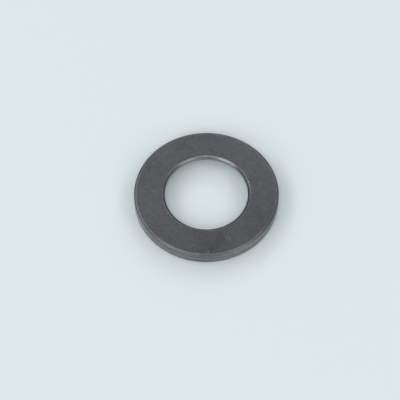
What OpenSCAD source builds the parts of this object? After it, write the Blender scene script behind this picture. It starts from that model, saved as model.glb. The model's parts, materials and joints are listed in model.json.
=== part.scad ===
// Plain round washer with broken edges and a relieved bore.
// It lies flat, with the origin at the middle of its lower face and +Z up through the bore.

/* [Ring] */
// Outer diameter
outer_d = 30; // [24:0.5:60]
// Diameter of the cylindrical land in the bore
bore_d = 17.2; // [8:0.1:24]
// Thickness over both flat faces
thickness = 3; // [2.6:0.1:8]

/* [Edges] */
// Chamfer round the rim, on the upper face
rim_top_chamfer = 0.45; // [0.1:0.05:1.2]
// Edge break round the rim, on the lower face
rim_bottom_chamfer = 0.25; // [0.1:0.05:1.2]
// Chamfer at the mouth of the bore, on the upper face
bore_top_chamfer = 0.5; // [0.1:0.05:1]
// Conical relief under the bore's land, on the lower face
bore_relief = 1.9; // [0.5:0.1:2.4]

/* [Hidden] */
outer_r = outer_d / 2;
bore_r = bore_d / 2;
turning_fn = 180;

// Half section of the ring, from the lower face round the rim to the upper face and down the bore
module section() {
    polygon([
        [bore_r + bore_relief, 0],
        [outer_r - rim_bottom_chamfer, 0],
        [outer_r, rim_bottom_chamfer],
        [outer_r, thickness - rim_top_chamfer],
        [outer_r - rim_top_chamfer, thickness],
        [bore_r + bore_top_chamfer, thickness],
        [bore_r, thickness - bore_top_chamfer],
        [bore_r, bore_relief],
    ]);
}

// The whole washer, turned from one piece of blackened steel
module washer() {
    color("dimgray")
    rotate_extrude($fn = turning_fn)
    section();
}

washer();
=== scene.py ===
# A round washer of blackened steel, lying flat on a pale table top in soft studio light.
# Lengths are in metres in the frame's own coordinates: +Z up, and the origin on the table,
# under the middle of the bore.

import json
from math import cos, pi, radians, sin, tan

import bpy
import numpy as np
from mathutils import Matrix, Vector, noise


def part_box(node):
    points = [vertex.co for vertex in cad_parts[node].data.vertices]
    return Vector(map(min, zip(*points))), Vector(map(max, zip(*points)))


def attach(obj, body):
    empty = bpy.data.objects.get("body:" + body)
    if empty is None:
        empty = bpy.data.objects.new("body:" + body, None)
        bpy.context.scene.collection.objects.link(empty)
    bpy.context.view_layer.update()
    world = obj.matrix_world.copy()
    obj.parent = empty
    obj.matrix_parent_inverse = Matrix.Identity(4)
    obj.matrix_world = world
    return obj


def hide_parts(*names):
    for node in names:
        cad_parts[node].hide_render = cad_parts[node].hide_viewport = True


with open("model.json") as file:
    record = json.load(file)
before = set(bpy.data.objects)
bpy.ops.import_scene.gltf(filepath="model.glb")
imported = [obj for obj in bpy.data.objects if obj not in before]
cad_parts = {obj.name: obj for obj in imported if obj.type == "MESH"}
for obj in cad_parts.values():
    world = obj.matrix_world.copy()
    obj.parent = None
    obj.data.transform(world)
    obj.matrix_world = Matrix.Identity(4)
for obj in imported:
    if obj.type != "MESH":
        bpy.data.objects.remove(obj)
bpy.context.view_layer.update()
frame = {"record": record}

MM = 0.001

# Sizes of the ring. The outer ones come from the frame, and the chamfers are those of the part's source.
lowest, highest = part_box("washer")
bore_mount = next(m for m in frame["record"]["mounts"] if m["name"] == "bore")
OUTER_R = highest[0]
THICKNESS = highest[2]
BORE_R = bore_mount["dims"]["r_mm"] * MM
RIM_TOP_CHAMFER = 0.45 * MM
RIM_BOTTOM_CHAMFER = 0.25 * MM
BORE_TOP_CHAMFER = 0.5 * MM
BORE_RELIEF = 1.9 * MM

# How finely the ring's surface is divided, and how far its edges are rounded.
TURN_STEPS = 600
EDGE_RADIUS = 0.2 * MM
EDGE_STEPS = 4
FINE_STEP = 0.14 * MM
COARSE_STEP = 0.5 * MM

# Small unevenness of the surface. Every depth is cut into the ring, so that it stays inside its true size.
GROOVE_DEPTH = 0.006 * MM
GROOVE_PITCH = 0.32 * MM
GROOVE_SWAY = 9 * MM
WAVE_DEPTH = 0.004 * MM
WAVE_LENGTH = 1.4 * MM
EDGE_WEAR_DEPTH = 0.02 * MM
EDGE_WEAR_LENGTH = 0.9 * MM

# Marks as the photograph shows them, most of them at the front: angle in degrees counter-clockwise from +X,
# radius, height, width and depth in millimetres, then the share of bare steel that shows
# or, below zero, the share of painted shade that darkens the dent.
MARKS = [
    (238.8, 14.78, 2.77, 0.20, 0.05, 0.30),
    (241.6, 14.72, 2.84, 0.20, 0.04, 0.25),
    (260.4, 14.62, 2.93, 0.20, 0.05, -0.30),
    (261.9, 14.74, 2.80, 0.22, 0.03, 0.25),
    (263.4, 14.84, 2.72, 0.20, 0.03, 0.20),
    (272.0, 13.62, 3.00, 0.26, 0.04, -0.38),
    (274.6, 13.66, 3.00, 0.34, 0.03, -0.22),
    (277.4, 13.66, 3.00, 0.34, 0.03, -0.18),
    (271.4, 14.05, 3.00, 0.22, 0.03, 0.35),
    (273.4, 14.25, 3.00, 0.24, 0.05, -0.40),
    (276.3, 14.76, 2.80, 0.20, 0.05, -0.50),
    (289.6, 11.70, 3.00, 0.16, 0.02, 0.15),
    (292.9, 12.00, 3.00, 0.22, 0.02, 0.25),
    (300.0, 13.30, 3.00, 0.22, 0.02, 0.10),
    (315.2, 14.45, 3.00, 0.22, 0.03, 0.25),
    (318.4, 14.60, 2.95, 0.22, 0.03, 0.25),
]

# Soft patches where the oxide of the face is lighter or darker in tone, and on the wall, at radius 15 mm,
# painted reflection that brightens or darkens its sheen: angle, radius and height as above, then the spread
# in millimetres and the share of the light that is won or, below zero, lost.
TONE_AND_SHEEN_PATCHES = [
    (277, 13.0, 3.0, 4.5, -0.13),
    (328, 13.5, 3.0, 4.0, -0.09),
    (197, 13.0, 3.0, 5.0, 0.06),
    (50, 13.5, 3.0, 5.0, 0.06),
    (129, 13.5, 3.0, 4.0, 0.04),
    (282, 11.8, 3.0, 1.0, -0.09),
    (262, 10.7, 3.0, 1.1, -0.09),
    (285, 10.0, 3.0, 0.8, -0.08),
    (332, 11.8, 3.0, 1.2, -0.08),
    (17, 9.7, 3.0, 0.9, -0.07),
    (219, 12.9, 3.0, 1.2, -0.06),
    (272, 12.4, 3.0, 0.9, -0.06),
    (312, 13.9, 3.0, 0.8, -0.05),
    (61, 10.7, 3.0, 0.9, -0.05),
    (46, 13.5, 3.0, 0.6, -0.05),
    (132, 10.5, 3.0, 0.8, -0.04),
    (277, 10.7, 3.0, 0.8, 0.06),
    (133, 12.8, 3.0, 0.6, 0.08),
    (49, 13.9, 3.0, 0.6, 0.06),
    (292, 12.1, 3.0, 0.4, 0.10),
    # Painted reflection on the wall: a darker and a lighter sheen.
    (264, 15.0, 1.5, 1.8, -0.14),
    (296, 15.0, 1.5, 2.2, 0.12),
    (221, 15.0, 1.5, 2.0, -0.10),
]

# The finish of each strip of the surface: reflectance, roughness, how much of the grazing shine it keeps,
# and how deep its turning lines are.
FINISHES = {
    "face": (0.168, 0.42, 0.6, 0.0),
    "rim_chamfer": (0.157, 0.46, 0.2, 0.5),
    "wall": (0.24, 0.27, 1.0, 1.0),
    "bore_chamfer": (0.17, 0.30, 0.0, 0.0),
    "land": (0.30, 0.30, 1.0, 1.0),
}

# The oxide's two tints, that of the turned surfaces, the bare steel where the oxide is worn,
# and the most of it that shows along an edge.
COOL_TINT = (0.94, 0.99, 1.14)
WARM_TINT = (1.01, 1.005, 0.99)
TURNED_TINT = (1.03, 1.0, 1.02)
BARE_STEEL = (0.42, 0.41, 0.40)
EDGE_SHINE = 0.06

# Noise in the oxide: how fine it is, per millimetre, and what share of the reflectance or the roughness
# it moves. The turned surfaces lack some of the grain.
MOTTLE_SCALE = 0.4
MOTTLE_SHARE = 0.18
SPECKLE_SCALE = 1.8
SPECKLE_SHARE = 0.38
GRAIN_SCALE = 4.5
GRAIN_SHARE = 0.68
TURNED_GRAIN_LOSS = 0.6
GRAIN_HEIGHT = 0.003 * MM
NOISE_DETAIL = 2.0
ROUGHNESS_SHARE = 0.3

# Turning lines, long round the ring and close together along its axis.
LINE_SCALE = (0.1, 0.1, 1.4)
LINE_DETAIL = 3.0
LINE_SHARE = 1.80
LINE_HEIGHT = 0.006 * MM

# The photograph's camera, as fitted to the rims of the washer. It looks along +Y and down.
# AIM_HEIGHT is the point of the bore's axis that it aims at, and AIM_PIXEL is where the photograph has it.
IMAGE_SIZE = 400
SENSOR_WIDTH = 36.0
CAMERA_ELEVATION = 58.75
CAMERA_DISTANCE = 0.33345
CAMERA_ROLL = -0.28
FOCAL_PIXELS = 1602.0
AIM_HEIGHT = 0.25 * MM
AIM_PIXEL = (206.40, 199.03)
CLIP_START = 0.01

# Soft studio light: panels all round at a low to middling height, a weak one overhead, and an even glow
# that gives nearly half of the light on the floor. Each lamp has its azimuth and elevation seen from
# the washer, its width, height and distance, and its radiance.
LAMPS = [
    ("left_back_panel", 160, 34, 0.7, 0.44, 1.6, 3.3),
    ("left_panel", 182, 42, 0.9, 0.44, 1.6, 1.5),
    ("left_front_panel", 226, 28, 1.0, 0.6, 1.6, 3.0),
    ("front_panel", 270, 45, 0.9, 0.5, 2.0, 3.1),
    ("right_front_panel", -50, 27, 0.92, 0.6, 1.6, 2.0),
    ("right_panel", -2, 42, 0.9, 0.44, 1.6, 2.1),
    ("back_right_panel", 50, 28, 0.8, 0.6, 2.0, 2.6),
    ("back_panel", 90, 27, 0.9, 0.6, 2.0, 2.8),
    ("back_left_panel", 130, 30, 0.8, 0.6, 2.0, 1.8),
    ("ceiling_panel", 210, 68, 0.9, 0.8, 2.0, 0.5),
]
ROOM_GLOW = 0.51
FLOOR_COLOUR = (0.745, 0.831, 0.847)
FLOOR_ROUGHNESS = 0.8
FLOOR_SPECULAR = 0.1
FLOOR_SIZE = 8.0


# Camera

def make_camera():
    """It stands in front of the washer and aims at its axis, which the lens shift puts in its place."""
    data = bpy.data.cameras.new("camera")
    data.sensor_width = SENSOR_WIDTH
    data.lens = FOCAL_PIXELS / IMAGE_SIZE * SENSOR_WIDTH
    data.shift_x = (IMAGE_SIZE / 2 - AIM_PIXEL[0]) / IMAGE_SIZE
    data.shift_y = (AIM_PIXEL[1] - IMAGE_SIZE / 2) / IMAGE_SIZE
    data.clip_start = CLIP_START
    elevation = radians(CAMERA_ELEVATION)
    place = Vector((0, -cos(elevation), sin(elevation))) * CAMERA_DISTANCE + Vector((0, 0, AIM_HEIGHT))
    camera = bpy.data.objects.new("camera", data)
    camera.matrix_world = (
        Matrix.Translation(place)
        @ Matrix.Rotation(radians(90 - CAMERA_ELEVATION), 4, "X")
        @ Matrix.Rotation(radians(CAMERA_ROLL), 4, "Z")
    )
    bpy.context.scene.collection.objects.link(camera)
    bpy.context.scene.camera = camera


# Light and floor

def make_lamps():
    """Each lamp is a rectangle that faces the washer."""
    for name, azimuth, elevation, width, height, distance, radiance in LAMPS:
        data = bpy.data.lights.new(name, "AREA")
        data.shape = "RECTANGLE"
        data.size = width
        data.size_y = height
        data.energy = radiance * pi * width * height
        lamp = bpy.data.objects.new(name, data)
        away = Vector((
            cos(radians(azimuth)) * cos(radians(elevation)),
            sin(radians(azimuth)) * cos(radians(elevation)),
            sin(radians(elevation)),
        ))
        facing = away.to_track_quat("Z", "Y").to_matrix().to_4x4()
        lamp.matrix_world = Matrix.Translation(away * distance) @ facing
        bpy.context.scene.collection.objects.link(lamp)


def make_room():
    """An even glow from all round."""
    world = bpy.data.worlds.new("room")
    bpy.context.scene.world = world
    world.use_nodes = True
    tree = world.node_tree
    tree.nodes.clear()
    glow = add_node(tree, "Background", {"Strength": ROOM_GLOW})
    add_node(tree, "OutputWorld", {"Surface": glow.outputs[0]})


def make_floor():
    """The pale table top, which is not part of the washer."""
    half = FLOOR_SIZE / 2
    corners = [(-half, -half, 0), (half, -half, 0), (half, half, 0), (-half, half, 0)]
    mesh = bpy.data.meshes.new("table_top")
    mesh.from_pydata(corners, [], [(0, 1, 2, 3)])
    table_top = bpy.data.objects.new("table_top", mesh)
    bpy.context.scene.collection.objects.link(table_top)
    material = bpy.data.materials.new("pale_table_top")
    material.use_nodes = True
    shader = material.node_tree.nodes["Principled BSDF"]
    shader.inputs["Base Color"].default_value = (*FLOOR_COLOUR, 1)
    shader.inputs["Roughness"].default_value = FLOOR_ROUGHNESS
    shader.inputs["Specular IOR Level"].default_value = FLOOR_SPECULAR
    mesh.materials.append(material)


# Materials

def add_node(tree, kind, inputs, **settings):
    """A new shader node. Each input, by name or number, gets a value or the socket that feeds it."""
    node = tree.nodes.new("ShaderNode" + kind)
    for name, value in settings.items():
        setattr(node, name, value)
    for key, value in inputs.items():
        if isinstance(value, bpy.types.NodeSocket):
            tree.links.new(value, node.inputs[key])
        else:
            node.inputs[key].default_value = value
    return node


def make_steel():
    """Blackened steel: a dull, faintly mottled oxide with fine turning lines on the rim and in the bore."""
    material = bpy.data.materials.new("blackened_steel")
    material.use_nodes = True
    tree = material.node_tree
    shader = tree.nodes["Principled BSDF"]

    def math(operation, first, second, third=0.0):
        return add_node(tree, "Math", {0: first, 1: second, 2: third}, operation=operation).outputs[0]

    def mix(share, first, second):
        """The first colour, turning into the second as the share goes from 0 to 1."""
        return add_node(tree, "Mix", {0: share, 6: first, 7: second}, data_type="RGBA").outputs[2]

    def noise_of(place, scale, detail):
        return add_node(tree, "TexNoise", {"Vector": place, "Scale": scale, "Detail": detail}).outputs[0]

    def attribute(name):
        return add_node(tree, "Attribute", {}, attribute_name=name).outputs["Fac"]

    def about_one(value, swing):
        """1 plus or minus a share of the noise."""
        return math("MULTIPLY_ADD", math("SUBTRACT", value, 0.5), swing, 1.0)

    place = add_node(tree, "TexCoord", {}).outputs["Object"]
    in_mm = add_node(tree, "VectorMath", {0: place, "Scale": 1 / MM}, operation="SCALE").outputs[0]
    around = add_node(tree, "VectorMath", {0: in_mm, 1: LINE_SCALE}, operation="MULTIPLY").outputs[0]
    mottle = noise_of(in_mm, MOTTLE_SCALE, NOISE_DETAIL)
    speckle = noise_of(in_mm, SPECKLE_SCALE, NOISE_DETAIL)
    grain = noise_of(in_mm, GRAIN_SCALE, NOISE_DETAIL)
    lines = noise_of(around, 1.0, LINE_DETAIL)

    shade = math("MULTIPLY", attribute("reflectance"), about_one(mottle, MOTTLE_SHARE))
    shade = math("MULTIPLY", shade, about_one(speckle, SPECKLE_SHARE))
    grain_share = math("MULTIPLY_ADD", attribute("lines"), -TURNED_GRAIN_LOSS * GRAIN_SHARE, GRAIN_SHARE)
    shade = math("MULTIPLY", shade, about_one(grain, grain_share))
    shade = math("MULTIPLY", shade, about_one(lines, math("MULTIPLY", attribute("lines"), LINE_SHARE)))
    tint = mix(mottle, (*COOL_TINT, 1), (*WARM_TINT, 1))
    tint = mix(attribute("lines"), tint, (*TURNED_TINT, 1))
    oxide = add_node(tree, "VectorMath", {0: tint, "Scale": shade}, operation="SCALE").outputs[0]
    worn = math("MULTIPLY", attribute("wear"), about_one(grain, 1.0))
    colour = mix(worn, oxide, (*BARE_STEEL, 1))
    roughness = math("MULTIPLY", attribute("roughness"), about_one(speckle, ROUGHNESS_SHARE))
    turned_lines = math("MULTIPLY", lines, attribute("lines"))
    height = math("MULTIPLY_ADD", turned_lines, LINE_HEIGHT / GRAIN_HEIGHT, grain)
    bump = add_node(tree, "Bump", {"Height": height, "Distance": GRAIN_HEIGHT, "Strength": 1.0})
    tree.links.new(colour, shader.inputs["Base Color"])
    tree.links.new(roughness, shader.inputs["Roughness"])
    tree.links.new(attribute("grazing"), shader.inputs["Specular Tint"])
    tree.links.new(bump.outputs[0], shader.inputs["Normal"])
    shader.inputs["Metallic"].default_value = 1.0
    return material


# The ring's mesh

def section_corners():
    """Corners of the half section in the order of the part's source, as (radius, height, step, finish).

    The step and the finish are those of the strip from this corner to the next one.
    """
    return [
        (BORE_R + BORE_RELIEF, 0, COARSE_STEP, "face"),
        (OUTER_R - RIM_BOTTOM_CHAMFER, 0, FINE_STEP, "rim_chamfer"),
        (OUTER_R, RIM_BOTTOM_CHAMFER, FINE_STEP / 2, "wall"),
        (OUTER_R, THICKNESS - RIM_TOP_CHAMFER, FINE_STEP, "rim_chamfer"),
        (OUTER_R - RIM_TOP_CHAMFER, THICKNESS, FINE_STEP, "face"),
        (BORE_R + BORE_TOP_CHAMFER, THICKNESS, FINE_STEP, "bore_chamfer"),
        (BORE_R, THICKNESS - BORE_TOP_CHAMFER, FINE_STEP, "land"),
        (BORE_R, BORE_RELIEF, FINE_STEP * 2, "land"),
    ]


def rounded_section():
    """The half section with its corners rounded, as a closed row of points.

    Each is (point, outward normal, corner share, finish). The corner share is 1 on a rounding,
    0.5 at its two ends and 0 on the strips between.
    """
    corners = section_corners()
    count = len(corners)
    points = []
    for i in range(count):
        before = Vector(corners[i - 1][:2])
        corner = Vector(corners[i][:2])
        after = Vector(corners[(i + 1) % count][:2])
        following = Vector(corners[(i + 2) % count][:2])
        arriving_finish = np.array(FINISHES[corners[i - 1][3]])
        leaving_finish = np.array(FINISHES[corners[i][3]])
        arriving = (corner - before).normalized()
        leaving = (after - corner).normalized()
        turn = arriving.angle(leaving)
        reach = EDGE_RADIUS * tan(turn / 2)
        outward = Vector((arriving.y, -arriving.x))
        centre = corner - arriving * reach - outward * EDGE_RADIUS
        for k in range(EDGE_STEPS + 1):
            normal = Matrix.Rotation(turn * k / EDGE_STEPS, 2) @ outward
            finish = arriving_finish + (leaving_finish - arriving_finish) * k / EDGE_STEPS
            corner_share = 1.0 if 0 < k < EDGE_STEPS else 0.5
            points.append((centre + normal * EDGE_RADIUS, normal, corner_share, finish))
        next_turn = leaving.angle((following - after).normalized())
        start = corner + leaving * reach
        end = after - leaving * EDGE_RADIUS * tan(next_turn / 2)
        parts = max(1, round((end - start).length / corners[i][2]))
        strip_normal = Vector((leaving.y, -leaving.x))
        for k in range(1, parts):
            points.append((start.lerp(end, k / parts), strip_normal, 0.0, leaving_finish))
    return points


def smooth_noise(places):
    """Smooth noise from 0 to 1 at each place."""
    return np.array([0.5 + 0.5 * noise.noise(Vector(place)) for place in places])


def polar(angle, radius, height):
    """The place at that angle in degrees and that radius and height in millimetres, in metres."""
    return np.array([radius * cos(radians(angle)), radius * sin(radians(angle)), height]) * MM


def near(places, centre, spread):
    """1 at the centre, falling smoothly to 0 around it."""
    return np.exp(-((places - centre) ** 2).sum(axis=1) / (spread * MM) ** 2)


def make_ring():
    """Turns the rounded section about the Z axis, then cuts the grooves, marks and worn edges into it."""
    section = rounded_section()
    rows = len(section)
    angles = np.arange(TURN_STEPS) * 2 * pi / TURN_STEPS
    turn = np.stack([np.cos(angles), np.sin(angles)], axis=1)

    def turned(pairs):
        """Each (radius, height) pair of the section at every step of the turn, as one list of places."""
        level = np.tile(pairs[None, :, 1:], (TURN_STEPS, 1, 1))
        return np.concatenate([turn[:, None] * pairs[None, :, :1], level], axis=2).reshape(-1, 3)

    places = turned(np.array([point for point, normal, corner, finish in section]))
    outward = turned(np.array([normal for point, normal, corner, finish in section]))
    corner = np.tile([corner for point, normal, corner, finish in section], TURN_STEPS)
    finishes = np.tile([finish for point, normal, corner, finish in section], (TURN_STEPS, 1))
    reflectance, roughness, grazing, lines = finishes.T.copy()

    grooves = smooth_noise(places / (GROOVE_SWAY, GROOVE_SWAY, GROOVE_PITCH)) * lines * GROOVE_DEPTH
    waves = smooth_noise(places / WAVE_LENGTH) * (1 - lines) * WAVE_DEPTH
    edges = smooth_noise(places / EDGE_WEAR_LENGTH) * corner
    depth = grooves + waves + edges * EDGE_WEAR_DEPTH
    wear = edges * EDGE_SHINE
    for angle, radius, height, width, cut, shine in MARKS:
        mark = near(places, polar(angle, radius, height), width)
        depth += mark * cut * MM
        wear = np.maximum(wear, mark * max(shine, 0))
        # Below zero, a mark's share is painted shade that darkens the dent.
        reflectance *= 1 + mark * min(shine, 0)
    # The patches on the face are the oxide's own tone; those on the wall are painted reflection of its
    # sheen.
    for angle, radius, height, spread, share in TONE_AND_SHEEN_PATCHES:
        reflectance *= 1 + near(places, polar(angle, radius, height), spread) * share
    places -= outward * depth[:, None]

    steps = np.arange(TURN_STEPS)[:, None] * rows
    row = np.arange(rows)[None]
    here, there, nxt = steps, (steps + rows) % (TURN_STEPS * rows), (row + 1) % rows
    faces = np.stack([here + row, there + row, there + nxt, here + nxt], axis=2).reshape(-1, 4)
    mesh = bpy.data.meshes.new("washer_ring")
    mesh.from_pydata(places.tolist(), [], faces.tolist())
    looks = {
        "reflectance": reflectance,
        "roughness": roughness,
        "grazing": grazing,
        "lines": lines,
        "wear": wear,
    }
    for name, values in looks.items():
        mesh.attributes.new(name, "FLOAT", "POINT").data.foreach_set("value", values.astype(np.float32))
    mesh.shade_smooth()
    ring = bpy.data.objects.new("washer_ring", mesh)
    bpy.context.scene.collection.objects.link(ring)
    return ring


bpy.context.scene.view_settings.view_transform = "Standard"
make_camera()
make_lamps()
make_room()
make_floor()

ring = make_ring()
ring.data.materials.append(make_steel())
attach(ring, "root")
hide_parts("washer")
